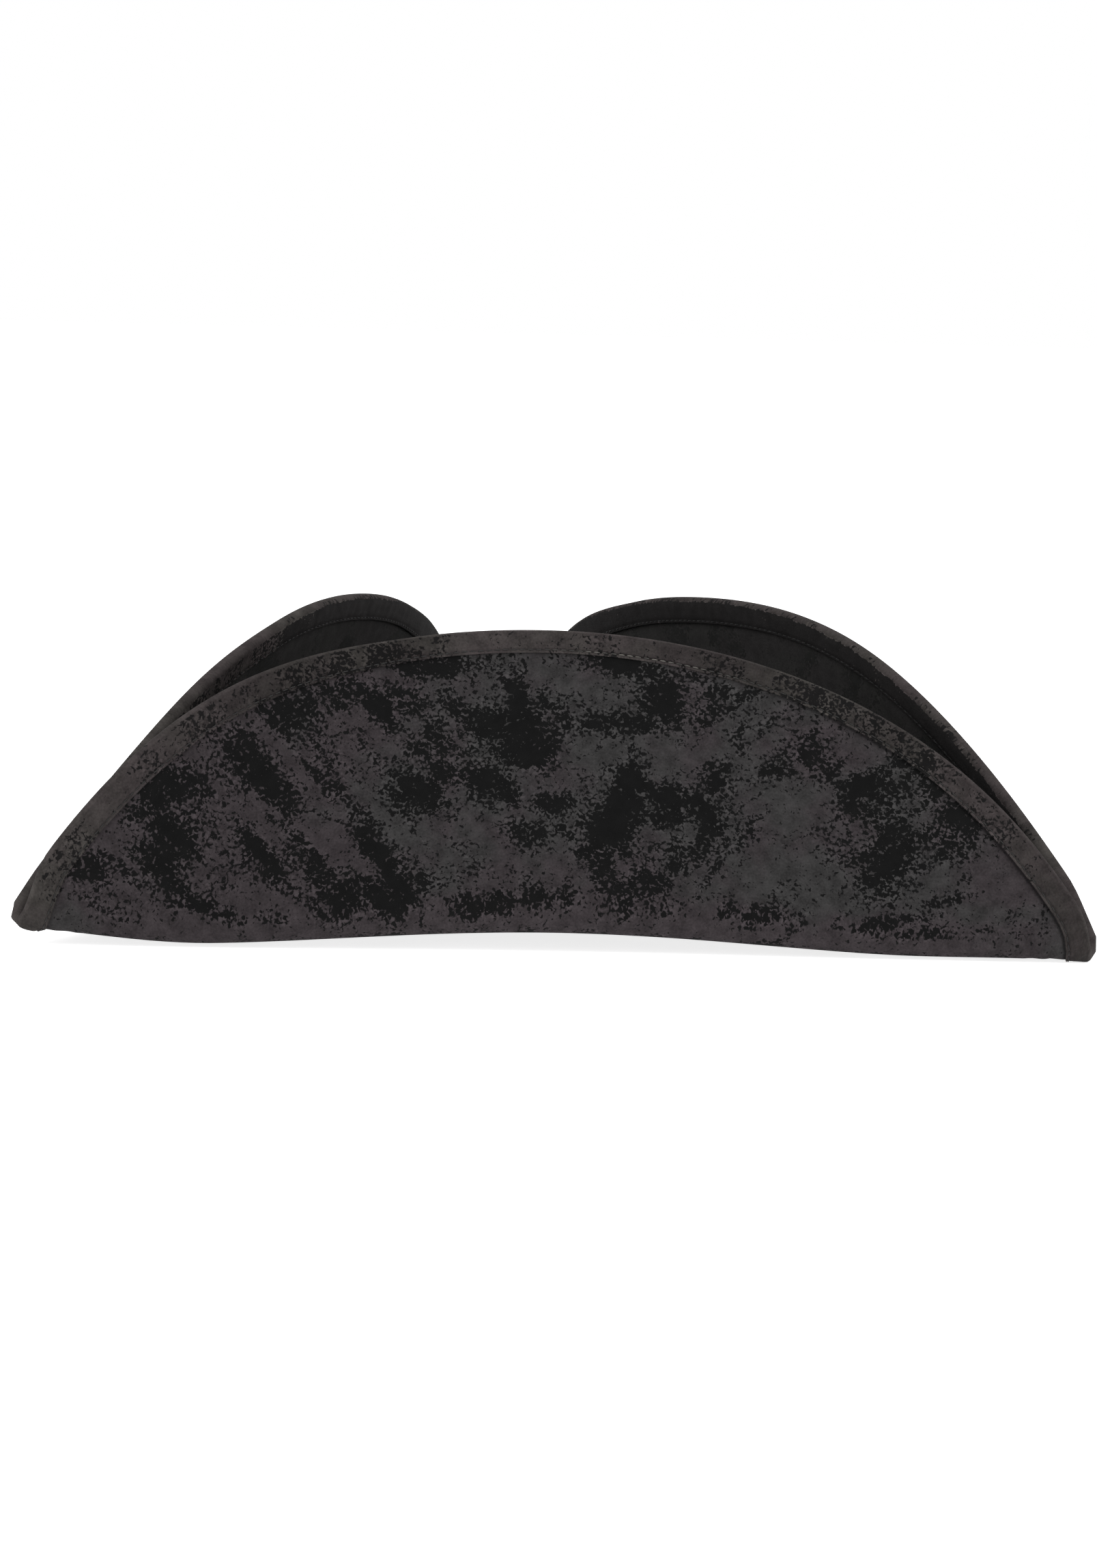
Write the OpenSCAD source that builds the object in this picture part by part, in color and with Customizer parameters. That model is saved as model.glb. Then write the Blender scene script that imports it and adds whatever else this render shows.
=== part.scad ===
// Three-cornered costume hat of faux suede: a round stiffened brim folded up against a low oval crown
// along three straight folds, with a wired and bound edge. +Y is the front point, +Z is up.

/* [Head opening] */
// Half width of the head opening, inside the sweatband
head_half_w = 84.5; // [78:0.5:92]
// Half length of the head opening, front to back
head_half_l = 97; // [90:0.5:104]
// How far the crown sits in front of the centre of the brim disc
crown_forward = 8; // [0:0.5:14]
// Height of the head seam above the flat part of the brim
head_rise = 7; // [0:0.5:12]

/* [Crown] */
// Height of the seam between side band and top, above the flat part of the brim
crown_seam_z = 78; // [70:1:84]
// How much the side band leans in over its height
crown_taper = 12; // [6:0.5:18]
// Extra rounding of the side band just under the top seam
crown_shoulder = 4; // [0:0.5:8]
// Rise of the domed top above its seam
dome_rise = 17; // [6:1:18]

/* [Brim disc] */
// Radius of the brim disc before it is folded
brim_r = 243; // [236:0.5:252]
// Flattening of the disc at the middle of each flap (back, left, right)
flap_trim = [1, 1, 2.5];
// Fullness of the disc halfway between the middle and the ends of each flap
flap_full = [4.5, 3, 7.5];
// Rounding off of the disc at each corner (back left, back right, front)
corner_trim = [5.5, 7, 0];
// Direction of each flap from the centre of the disc (back, left, right)
flap_dir = [-91.5, 150, 29.5];
// Distance of each fold from the centre of the disc
fold_dist = [123.5, 121.5, 120];
// Inward lean of each flap past upright, at its middle
flap_lean = [28.5, 19, 16.5];
// Inward lean at the clockwise end of each flap
lean_cw = [-14, 0, 24];
// Inward lean at the anticlockwise end of each flap
lean_ccw = [9.5, 29.5, 0.5];
// Rise of each fold at its middle, where the brim arches off the table
fold_arch = [6.5, 4, 4];
// Direction of each corner (back left, back right, front)
corner_dir = [210, 330, 90];
// Lift of each corner tip
corner_lift = [5.5, 0.5, 7.5];
// Bend radius of a fold at its middle
bend_mid = 9; // [6:0.5:12]
// Bend radius of a fold at the corners
bend_end = 4; // [3:0.5:8]

/* [Materials] */
// Thickness of the suede fabric on the brim
suede_t = 0.9; // [0.6:0.1:1.2]
// Thickness of the stiffener inside the brim
stiffener_t = 2.2; // [1.4:0.2:2.8]
// Thickness of the edge binding
binding_t = 0.8; // [0.5:0.1:1.2]
// Width of the edge binding on each face
binding_w = 10; // [7:0.5:14]
// Diameter of the wire in the brim edge
wire_d = 2.2; // [1:0.2:2.2]
// Thickness of the sweatband
sweatband_t = 1.2; // [0.8:0.1:1.6]
// Height of the sweatband
sweatband_h = 34; // [25:1:40]
// Thickness of the crown lining
lining_t = 0.5; // [0.3:0.1:0.8]
// Thickness of the crown stiffener
crown_stiffener_t = 1.2; // [0.8:0.1:1.6]
// Thickness of the suede fabric on the crown
crown_suede_t = 0.8; // [0.6:0.1:1.2]
// Width of a row of sewing thread
thread_w = 0.7; // [0.4:0.1:1]
// Diameter of the thread bars that hold the flaps to the crown
tack_d = 1.6; // [1:0.2:2.4]

/* [Hidden] */

deg = 180 / PI;
eps = 0.4;
flaps = [0, 1, 2];
// Half length of a fold, over which its lean and bend radius change
fold_half = 213;
// Half length of the arch under each fold
arch_half = 160;
// Middle of each flap's third of the disc, and how far a rounded corner reaches to each side
flap_mid = [-90, 150, 30];
corner_span = 7;
// Where the lift of a corner starts, from the centre of the disc
lift_from = 170;
// How far out from the head seam the brim falls to its flat part
rise_run = 30;
// The brim's opening clears the sweatband by this much
opening_gap = 0.2;
// The head opening is an ellipse: circles drawn at its half length are narrowed by this
oval = head_half_w / head_half_l;
brim_open_l = head_half_l + sweatband_t + opening_gap;
brim_open_w = brim_open_l * oval;

// Offsets from the middle of the brim, positive towards the crown
core = stiffener_t / 2;
skin = core + suede_t;
bound = skin + binding_t;
thread_h = 0.35;
// How far the binding's thread row runs in from its inner edge, and how much the binding thins at the rim
stitch_in = 0.9;
rim_round = 1.2;
// How far the sweatband hangs below the head seam, and where its thread row runs above that seam
band_drop = 1.5;
band_stitch = 0.5;
// The back seam's thread: how far it runs beside the seam, and how far it stops short of each end
back_seam_x = 2.5;
back_seam_end = 2;
// How far the thread row round the top lies in from its seam
topstitch_in = 4.2;

// Offsets outwards from the inside of the sweatband
lining_in = sweatband_t;
shell_in = lining_in + lining_t;
suede_in = shell_in + crown_stiffener_t;
suede_out = suede_in + crown_suede_t;
crown_foot = head_rise + skin;

// Distances in from the edge: binding, stiffener and fabric ends, and the edge itself
edge_steps = [binding_w, wire_d + 2.2, binding_t, 0];
// Number of rays in each third of the brim, and how much they crowd towards the corners
rays_third = 28;
crowding = 0.09;
rays = 3 * rays_third;

function ease(t) = let(c = min(max(t, 0), 1)) c * c * (3 - 2 * c);

// Distance from the disc centre to the brim's opening in direction th
function open_rho(th) =
    let(
        c = cos(th) / brim_open_w,
        s = sin(th) / brim_open_l,
        k = crown_forward / brim_open_l,
        qa = c * c + s * s,
        qb = -2 * s * k,
        qc = k * k - 1)
    (-qb + sqrt(qb * qb - 4 * qa * qc)) / (2 * qa);

function turn(th, dir) = let(d = (th - dir + 900) % 360) d - 180;

// Distance from the disc centre to the cut edge in direction th
function edge_rho(th) =
    let(
        d = [for (k = flaps) turn(th, flap_mid[k])],
        cut = [for (k = flaps) abs(d[k]) < 60
            ? flap_full[k] * pow(sin(3 * d[k]), 2) - flap_trim[k] * pow(cos(1.5 * d[k]), 2) : 0],
        off = [for (k = flaps) min(abs(turn(th, corner_dir[k])) / corner_span, 1)],
        tip = [for (k = flaps) corner_trim[k] * pow(cos(90 * off[k]), 2)])
    brim_r + cut[0] + cut[1] + cut[2] - tip[0] - tip[1] - tip[2];

// Along-fold position of a disc point, as a share of the fold's half length
function fold_u(k, x, y) =
    let(a = y * cos(flap_dir[k]) - x * sin(flap_dir[k]))
    min(max(a / fold_half, -1), 1);
function lean_at(k, u) =
    flap_lean[k] * (1 - u * u) + (u < 0 ? lean_cw[k] : lean_ccw[k]) * u * u;
function bend_at(u) = bend_mid * (1 - u * u) + bend_end * u * u;
function bend_start(k, u) = fold_dist[k] - bend_at(u) * (90 + lean_at(k, u)) / deg / 2;
function bend_len(k, u) = bend_at(u) * (90 + lean_at(k, u)) / deg;

// Movement of the disc point [x, y] when flap k is folded up
function flap_move(k, x, y) =
    let(
        dir = flap_dir[k],
        a = y * cos(dir) - x * sin(dir),
        b = x * cos(dir) + y * sin(dir),
        u = fold_u(k, x, y),
        phi = 90 + lean_at(k, u),
        r = bend_at(u),
        start = bend_start(k, u),
        q = min(max((b - start) / r * deg, 0), phi),
        past = max(b - start - r * phi / deg, 0),
        out = b < start ? 0 : start + r * sin(q) + past * cos(phi) - b,
        up = b < start ? 0 : r * (1 - cos(q)) + past * sin(phi),
        arch = abs(a) < arch_half ? pow(cos(90 * a / arch_half), 2) * ease((b - 60) / 40) : 0)
    [out * cos(dir), out * sin(dir), up, fold_arch[k] * arch];

// Middle surface of the folded brim at [rho, th] of the flat disc
function brim_at(rho, th) =
    let(
        x = rho * cos(th),
        y = rho * sin(th),
        flat = ease((rho - open_rho(th)) / rise_run),
        m = [for (k = flaps) flap_move(k, x, y)],
        lift = [for (k = flaps)
            corner_lift[k] * ease((rho * cos(th - corner_dir[k]) - lift_from) / (brim_r - lift_from))],
        dx = m[0][0] + m[1][0] + m[2][0],
        dy = m[0][1] + m[1][1] + m[2][1],
        dz = m[0][2] + m[1][2] + m[2][2],
        arch = m[0][3] + m[1][3] + m[2][3])
    [x + dx, y + dy, dz + head_rise * (1 - flat) + arch * flat + lift[0] + lift[1] + lift[2]];

function brim_normal(rho, th) =
    let(n = cross(brim_at(rho + eps, th) - brim_at(rho - eps, th),
                  brim_at(rho, th + eps) - brim_at(rho, th - eps)))
    n / norm(n);

// Rays crowd towards the corners, where the sheet bends most
function ray_dir(i) =
    let(third = floor(i / rays_third), t = i / rays_third - third)
    30 + 120 * (third + t - crowding * sin(360 * t));

// Radii along one ray: opening, flat, the bend of the nearest fold, flap, edge
function stations(th) =
    let(
        k = [for (j = flaps) if (abs(turn(th, flap_mid[j])) <= 60.01) j][0],
        edge = edge_rho(th),
        tilt = cos(turn(th, flap_dir[k])),
        u = fold_u(k, brim_r * cos(th) * 0.8, brim_r * sin(th) * 0.8),
        start = bend_start(k, u) / tilt,
        run = bend_len(k, u) / tilt,
        bind = edge - edge_steps[0],
        open = open_rho(th),
        free = max(bind - start - run, 0),
        raw = [open, (open + start) / 2, start, start + run * 0.25, start + run * 0.5,
            start + run * 0.75, start + run, start + run + free / 3, start + run + free * 2 / 3])
    concat([for (j = [0 : 8]) min(raw[j], bind - (9 - j) * 2)],
        [for (s = edge_steps) edge - s]);

RAY = [for (i = [0 : rays - 1]) ray_dir(i)];
STATION = [for (th = RAY) stations(th)];
MID = [for (i = [0 : rays - 1]) [for (rho = STATION[i]) brim_at(rho, RAY[i])]];
OUT = [for (i = [0 : rays - 1]) [for (rho = STATION[i]) brim_normal(rho, RAY[i])]];
BIND = 9;
CORE_END = 10;
SKIN_END = 11;
EDGE = 12;

// The hat stands on its lowest fold, with the middle of its length over the origin
back_y = min([for (ray = MID) for (p = ray) p[1]]) - skin;
base_z = min([for (i = [0 : rays - 1]) for (j = [0 : EDGE])
    MID[i][j][2] - OUT[i][j][2] * (j < BIND ? skin : bound + thread_h)]);
PLACE = [0, -(brim_at(edge_rho(90), 90)[1] + back_y) / 2, -base_z];

function brim_pt(i, j, off) = MID[i][j] + OUT[i][j] * off + PLACE;
function between(p, q, f) = p + (q - p) * f;

// Solid swept through closed loops of points that go once round the brim
module ring_solid(loops) {
    n = len(loops);
    m = len(loops[0]);
    polyhedron(
        points = [for (l = loops) each l],
        faces = [for (i = [0 : n - 1]) for (j = [0 : m - 1])
            let(
                a = i * m + j,
                b = i * m + (j + 1) % m,
                c = ((i + 1) % n) * m + (j + 1) % m,
                d = ((i + 1) % n) * m + j)
            each [[a, c, b], [a, d, c]]],
        convexity = 8);
}

// One layer of the brim between two offsets, from the opening to station last
module brim_layer(low, high, last) {
    ring_solid([for (i = [0 : rays - 1])
        concat([for (j = [0 : last]) brim_pt(i, j, high)],
            [for (j = [last : -1 : 0]) brim_pt(i, j, low)])]);
}

// A thread row on the binding, side is +1 on the face towards the crown and -1 outside
module binding_thread(side) {
    near = (stitch_in - thread_w / 2) / (binding_w - edge_steps[1]);
    far = (stitch_in + thread_w / 2) / (binding_w - edge_steps[1]);
    low = side > 0 ? bound : -bound - thread_h;
    high = side > 0 ? bound + thread_h : -bound;
    ring_solid([for (i = [0 : rays - 1]) [
        between(brim_pt(i, BIND, high), brim_pt(i, CORE_END, high), near),
        between(brim_pt(i, BIND, high), brim_pt(i, CORE_END, high), far),
        between(brim_pt(i, BIND, low), brim_pt(i, CORE_END, low), far),
        between(brim_pt(i, BIND, low), brim_pt(i, CORE_END, low), near)]]);
}

// Half length of the crown's oval at height z, offset outwards
function crown_r(z, off) =
    let(u = min(max((z - head_rise) / (crown_seam_z - head_rise), 0), 1))
    head_half_l + off - crown_taper * pow(u, 1.3) - crown_shoulder * pow(max(u - 0.85, 0) / 0.15, 2);
function side_line(z0, z1, off, n = 10) =
    [for (i = [0 : n]) let(z = z0 + (z1 - z0) * i / n) [crown_r(z, off), z]];
function dome_z(r, r0) = dome_rise * (1 - pow(r / r0, 2));

module on_crown() {
    translate([0, crown_forward + PLACE[1], PLACE[2]])
        scale([oval, 1, 1])
            children();
}

// Band of the crown wall between two heights and two offsets
module crown_band(z0, z1, in, out) {
    on_crown()
        rotate_extrude($fn = 96)
            polygon(concat(side_line(z0, z1, in), side_line(z1, z0, out)));
}

// The domed sheets are drawn as rings of points at these shares of their radius
dome_shares = [0.25, 0.5, 0.72, 0.9, 1];
dome_sides = 60;
function oval_ring(r, z) = [for (i = [0 : dome_sides - 1])
    let(a = 360 * i / dome_sides)
    [r * oval * cos(a), crown_forward + PLACE[1] + r * sin(a), PLACE[2] + z]];
function oval_top(z) = [0, crown_forward + PLACE[1], PLACE[2] + z];

// Domed oval sheet, off above the top seam and t thick, out to the crown wall's offset reach
module crown_dome(off, t, reach) {
    r0 = crown_r(crown_seam_z, reach);
    z0 = crown_seam_z + off;
    m = len(dome_shares);
    rings = concat(
        [for (s = dome_shares) oval_ring(r0 * s, z0 + t + dome_z(s, 1))],
        [for (j = [m - 1 : -1 : 0]) oval_ring(r0 * dome_shares[j], z0 + dome_z(dome_shares[j], 1))]);
    last = 2 * m * dome_sides;
    polyhedron(
        points = concat([for (g = rings) each g], [oval_top(z0 + t + dome_rise), oval_top(z0 + dome_rise)]),
        faces = concat(
            [for (j = [0 : 2 * m - 2]) for (i = [0 : dome_sides - 1])
                let(
                    a = j * dome_sides + i,
                    b = j * dome_sides + (i + 1) % dome_sides)
                each [[a, b, b + dome_sides], [a, b + dome_sides, a + dome_sides]]],
            [for (i = [0 : dome_sides - 1]) [last, (i + 1) % dome_sides, i]],
            [for (i = [0 : dome_sides - 1])
                let(foot = (2 * m - 1) * dome_sides)
                [last + 1, foot + i, foot + (i + 1) % dome_sides]]),
        convexity = 4);
}

// Where a level line from point p along direction dir meets the outside of the crown
function crown_hit(p, dir) =
    let(
        r = crown_r(p[2] - PLACE[2], suede_out),
        x = p[0] / oval,
        y = p[1] - crown_forward - PLACE[1],
        dx = -cos(dir) / oval,
        dy = -sin(dir),
        qa = dx * dx + dy * dy,
        qb = 2 * (x * dx + y * dy),
        qc = x * x + y * y - r * r,
        s = (-qb - sqrt(qb * qb - 4 * qa * qc)) / (2 * qa))
    [p[0] - s * cos(dir), p[1] - s * sin(dir), p[2]];

// How far each end of a thread bar is sewn into the cloth
tack_bite = 0.4;
// How far out on the disc the flaps are tacked to the crown
tack_rho = 196;
module flap_tack(k) {
    dir = flap_dir[k];
    foot = brim_at(tack_rho, dir) + brim_normal(tack_rho, dir) * (skin - tack_bite) + PLACE;
    reach = norm(crown_hit(foot, dir) - foot) + tack_bite;
    color([0.07, 0.07, 0.07])
        translate(foot)
            rotate([0, -90, dir])
                cylinder(h = reach, d = tack_d, $fn = 24);
}

module crown_tip() {
    color([0.17, 0.17, 0.175]) crown_dome(shell_in - lining_in + crown_stiffener_t, crown_suede_t, suede_out);
}
module crown_side() {
    color([0.17, 0.17, 0.175])
        crown_band(crown_foot, crown_seam_z + shell_in - lining_in + crown_stiffener_t, suede_in, suede_out);
}
module crown_tip_stiffener() {
    color([0.75, 0.72, 0.65]) crown_dome(lining_t, crown_stiffener_t, suede_in);
}
module crown_side_stiffener() {
    color([0.75, 0.72, 0.65]) crown_band(crown_foot, crown_seam_z + lining_t, shell_in, suede_in);
}
module crown_tip_lining() {
    color([0.05, 0.05, 0.06]) crown_dome(0, lining_t, shell_in);
}
module crown_side_lining() {
    color([0.05, 0.05, 0.06]) crown_band(crown_foot, crown_seam_z, lining_in, shell_in);
}

// Row of thread round the top, a little in from its seam and lying on the last stretch of the dome
module crown_tip_topstitching() {
    r0 = crown_r(crown_seam_z, suede_out);
    top = crown_seam_z + suede_out - lining_in;
    last = dome_shares[3];
    fall = (dome_z(last, 1) - dome_z(1, 1)) / (1 - last);
    a = 1 - topstitch_in / r0;
    b = 1 - (topstitch_in - thread_w) / r0;
    za = top + (1 - a) * fall;
    zb = top + (1 - b) * fall;
    rings = [oval_ring(r0 * a, za + thread_h), oval_ring(r0 * b, zb + thread_h), oval_ring(r0 * b, zb),
        oval_ring(r0 * a, za)];
    color([0.1, 0.1, 0.1])
        ring_solid([for (i = [0 : dome_sides - 1]) [for (g = rings) g[i]]]);
}
// Row of thread up the back of the side band, beside its only upright seam
module crown_back_seam_stitching() {
    low = crown_foot + back_seam_end;
    high = crown_seam_z - back_seam_end;
    // The block that cuts the row out of the band starts this far behind the crown and runs this deep
    behind = 6;
    reach = 40;
    color([0.1, 0.1, 0.1])
        intersection() {
            crown_band(low, high, suede_out, suede_out + thread_h);
            translate([back_seam_x, crown_forward + PLACE[1] - head_half_l - behind, low])
                cube([thread_w, reach, crown_seam_z]);
        }
}
module sweatband() {
    color([0.08, 0.08, 0.085])
        crown_band(head_rise - band_drop, head_rise - band_drop + sweatband_h, 0, sweatband_t);
}
module sweatband_stitching() {
    low = head_rise + band_stitch;
    color([0.12, 0.12, 0.12]) crown_band(low, low + thread_w, -thread_h, 0);
}
// Thread of the seam that joins the crown to the brim, in the corner where they meet
module head_seam_stitching() {
    color([0.1, 0.1, 0.1])
        crown_band(crown_foot, crown_foot + thread_w, suede_out, suede_out + thread_h);
}
module brim_outer_fabric() {
    color([0.17, 0.17, 0.175]) brim_layer(-skin, -core, SKIN_END);
}
module brim_inner_fabric() {
    color([0.11, 0.11, 0.115]) brim_layer(core, skin, SKIN_END);
}
module brim_stiffener() {
    color([0.3, 0.3, 0.3]) brim_layer(-core, core, CORE_END);
}
// Six-sided wire loop lying between the two fabrics, just outside the stiffener
module brim_edge_wire() {
    r = wire_d / 2;
    clear = 0.3;
    seat = 0.62 * (edge_steps[1] - clear - r) / (edge_steps[1] - edge_steps[2]);
    flatten = 0.94;
    color([0.55, 0.55, 0.56])
        ring_solid([for (i = [0 : rays - 1])
            let(
                inner = brim_pt(i, CORE_END, 0),
                outer = brim_pt(i, SKIN_END, 0),
                along = (outer - inner) / norm(outer - inner),
                mid = between(outer, inner, seat),
                n = OUT[i][CORE_END])
            [for (s = [0 : 5]) mid + along * r * sin(60 * s) + n * r * cos(60 * s) * flatten]]);
}
module brim_binding() {
    color([0.2, 0.195, 0.195])
        ring_solid([for (i = [0 : rays - 1]) [
            brim_pt(i, BIND, bound), brim_pt(i, CORE_END, bound), brim_pt(i, SKIN_END, bound),
            brim_pt(i, EDGE, bound - rim_round), brim_pt(i, EDGE, rim_round - bound),
            brim_pt(i, SKIN_END, -bound), brim_pt(i, CORE_END, -bound), brim_pt(i, BIND, -bound),
            brim_pt(i, BIND, -skin), brim_pt(i, CORE_END, -skin), brim_pt(i, SKIN_END, -skin),
            brim_pt(i, SKIN_END, skin), brim_pt(i, CORE_END, skin), brim_pt(i, BIND, skin)]]);
}
module binding_stitching_outer() {
    color([0.3, 0.29, 0.28]) binding_thread(-1);
}
module binding_stitching_inner() {
    color([0.3, 0.29, 0.28]) binding_thread(1);
}
module flap_tack_back() {
    flap_tack(0);
}
module flap_tack_left() {
    flap_tack(1);
}
module flap_tack_right() {
    flap_tack(2);
}

crown_tip();
crown_side();
crown_tip_stiffener();
crown_side_stiffener();
crown_tip_lining();
crown_side_lining();
crown_tip_topstitching();
crown_back_seam_stitching();
sweatband();
sweatband_stitching();
head_seam_stitching();
brim_outer_fabric();
brim_inner_fabric();
brim_stiffener();
brim_edge_wire();
brim_binding();
binding_stitching_outer();
binding_stitching_inner();
flap_tack_back();
flap_tack_left();
flap_tack_right();
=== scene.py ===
import math

import bpy
import numpy as np
from mathutils import Matrix, Vector, noise


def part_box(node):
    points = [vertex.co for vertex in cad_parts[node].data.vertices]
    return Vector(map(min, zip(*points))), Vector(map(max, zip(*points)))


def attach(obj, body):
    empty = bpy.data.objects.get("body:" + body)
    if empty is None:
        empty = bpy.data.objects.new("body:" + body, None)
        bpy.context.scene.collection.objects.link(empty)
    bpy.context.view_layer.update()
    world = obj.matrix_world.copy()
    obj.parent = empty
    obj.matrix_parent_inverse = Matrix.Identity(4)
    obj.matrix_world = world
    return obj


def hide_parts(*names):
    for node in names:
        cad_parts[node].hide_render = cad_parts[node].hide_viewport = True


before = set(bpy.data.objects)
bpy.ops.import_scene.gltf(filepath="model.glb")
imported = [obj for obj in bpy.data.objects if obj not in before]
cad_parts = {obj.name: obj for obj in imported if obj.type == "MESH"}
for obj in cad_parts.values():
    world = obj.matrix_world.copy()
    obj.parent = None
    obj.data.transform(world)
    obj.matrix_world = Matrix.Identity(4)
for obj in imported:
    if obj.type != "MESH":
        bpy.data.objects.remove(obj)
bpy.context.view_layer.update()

MM = 0.001
DEG = math.pi / 180

# ---------------------------------------------------------------------------------------------
# The hat's shape, in millimetres: the same sizes as the CAD model's
# ---------------------------------------------------------------------------------------------
HEAD_W, HEAD_L = 84.5, 97.0
CROWN_FORWARD, HEAD_RISE = 8.0, 7.0
CROWN_SEAM_Z, CROWN_TAPER, CROWN_SHOULDER, DOME_RISE = 78.0, 12.0, 4.0, 17.0
BRIM_R = 243.0
FLAP_TRIM = (1.0, 1.0, 2.5)
FLAP_FULL = (4.5, 3.0, 7.5)
CORNER_TRIM = (5.5, 7.0, 0.0)
FLAP_DIR = (-91.5, 150.0, 29.5)
FLAP_MID = (-90.0, 150.0, 30.0)
FOLD_DIST = (123.5, 121.5, 120.0)
FLAP_LEAN = (28.5, 19.0, 16.5)
LEAN_CW = (-14.0, 0.0, 24.0)
LEAN_CCW = (9.5, 29.5, 0.5)
FOLD_ARCH = (6.5, 4.0, 4.0)
CORNER_DIR = (210.0, 330.0, 90.0)
CORNER_LIFT = (5.5, 0.5, 7.5)
CORNER_SPAN = 7.0
BEND_MID, BEND_END = 9.0, 4.0
SUEDE_T, STIFFENER_T, BINDING_T, BINDING_W = 0.9, 2.2, 0.8, 10.0
SWEATBAND_T, SWEATBAND_H, LINING_T = 1.2, 34.0, 0.5
CROWN_STIFFENER_T, CROWN_SUEDE_T = 1.2, 0.8
FOLD_HALF, ARCH_HALF, LIFT_FROM, RISE_RUN, OPENING_GAP = 213.0, 160.0, 170.0, 30.0, 0.2

CORE = STIFFENER_T / 2
SKIN = CORE + SUEDE_T
BOUND = SKIN + BINDING_T
OVAL = HEAD_W / HEAD_L
OPEN_L = HEAD_L + SWEATBAND_T + OPENING_GAP
OPEN_W = OPEN_L * OVAL
SHELL_IN = SWEATBAND_T + LINING_T
SUEDE_IN = SHELL_IN + CROWN_STIFFENER_T
SUEDE_OUT = SUEDE_IN + CROWN_SUEDE_T
CROWN_FOOT = HEAD_RISE + SKIN

# Where the CAD put the hat, read from its crown's box
side_low, side_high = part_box("crown_side")
PLACE = np.array([
    (side_low.x + side_high.x) / 2 / MM,
    (side_low.y + side_high.y) / 2 / MM - CROWN_FORWARD,
    side_low.z / MM - CROWN_FOOT,
])


def ease(t):
    """0 up to t = 0, then smoothly to 1 at t = 1, and 1 beyond."""
    t = np.clip(t, 0, 1)
    return t * t * (3 - 2 * t)


def turn(th, direction):
    """Signed angle from direction to th, in degrees."""
    return (th - direction + 900) % 360 - 180


def open_rho(th):
    """Distance from the disc's centre to the brim's opening."""
    c, s, k = np.cos(th * DEG) / OPEN_W, np.sin(th * DEG) / OPEN_L, CROWN_FORWARD / OPEN_L
    qa, qb, qc = c * c + s * s, -2 * s * k, k * k - 1
    return (-qb + np.sqrt(qb * qb - 4 * qa * qc)) / (2 * qa)


def edge_rho(th):
    """Distance from the disc's centre to its cut edge."""
    rho = np.full_like(th, BRIM_R)
    for k in range(3):
        d = turn(th, FLAP_MID[k])
        full = FLAP_FULL[k] * np.sin(3 * d * DEG) ** 2 - FLAP_TRIM[k] * np.cos(1.5 * d * DEG) ** 2
        rho = rho + np.where(np.abs(d) < 60, full, 0)
        off = np.minimum(np.abs(turn(th, CORNER_DIR[k])) / CORNER_SPAN, 1)
        rho = rho - CORNER_TRIM[k] * np.cos(math.pi / 2 * off) ** 2
    return rho


def fold_u(k, x, y):
    """Place along fold k of a point of the flat disc: 0 at the middle, -1 and 1 at its ends."""
    d = FLAP_DIR[k] * DEG
    return np.clip((y * math.cos(d) - x * math.sin(d)) / FOLD_HALF, -1, 1)


def fold_shape(k, u):
    """Bend radius, bend angle in radians, and where the bend starts, at u along fold k."""
    lean = FLAP_LEAN[k] * (1 - u * u) + np.where(u < 0, LEAN_CW[k], LEAN_CCW[k]) * u * u
    r = BEND_MID * (1 - u * u) + BEND_END * u * u
    phi = (90 + lean) * DEG
    return r, phi, FOLD_DIST[k] - r * phi / 2


def folded(rho, th):
    """Middle surface of the folded brim at a point of the flat disc, in CAD position, in mm."""
    x, y = rho * np.cos(th * DEG), rho * np.sin(th * DEG)
    flat = ease((rho - open_rho(th)) / RISE_RUN)
    px, py, pz = x.copy(), y.copy(), HEAD_RISE * (1 - flat)
    for k in range(3):
        d = FLAP_DIR[k] * DEG
        a, b = y * math.cos(d) - x * math.sin(d), x * math.cos(d) + y * math.sin(d)
        r, phi, start = fold_shape(k, fold_u(k, x, y))
        q = np.clip((b - start) / r, 0, phi)
        past = np.maximum(b - start - r * phi, 0)
        out = np.where(b < start, 0, start + r * np.sin(q) + past * np.cos(phi) - b)
        px += out * math.cos(d)
        py += out * math.sin(d)
        pz += np.where(b < start, 0, r * (1 - np.cos(q)) + past * np.sin(phi))
        arch = np.where(np.abs(a) < ARCH_HALF, np.cos(math.pi / 2 * a / ARCH_HALF) ** 2, 0)
        pz += FOLD_ARCH[k] * arch * ease((b - 60) / 40) * flat
        reach = rho * np.cos((th - CORNER_DIR[k]) * DEG)
        pz += CORNER_LIFT[k] * ease((reach - LIFT_FROM) / (BRIM_R - LIFT_FROM))
    return np.stack([px, py, pz], -1) + PLACE


def wobble(rho, th):
    """Slight unevenness of real cloth, along the normal, in mm: none at the opening or the base."""
    t = th * DEG
    w = (np.sin(3 * t + 0.7 + rho / 61) * np.sin(rho / 37 + 1.3) * 0.5
         + np.sin(7 * t + 2.1 - rho / 83) * np.sin(rho / 23 + 0.4) * 0.3
         + np.sin(13 * t + 5.2) * np.sin(rho / 17 + 2.2) * 0.15)
    return w * ease((rho - 150) / 60)


def brim_frame(rho, th):
    """Point and unit normal of the brim's middle surface; the normal points to the crown's side."""
    eps = 0.4
    point = folded(rho, th)
    n = np.cross(folded(rho + eps, th) - folded(rho - eps, th), folded(rho, th + eps) - folded(rho, th - eps))
    n /= np.linalg.norm(n, axis=-1, keepdims=True)
    return point + n * wobble(rho, th)[..., None], n


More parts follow.
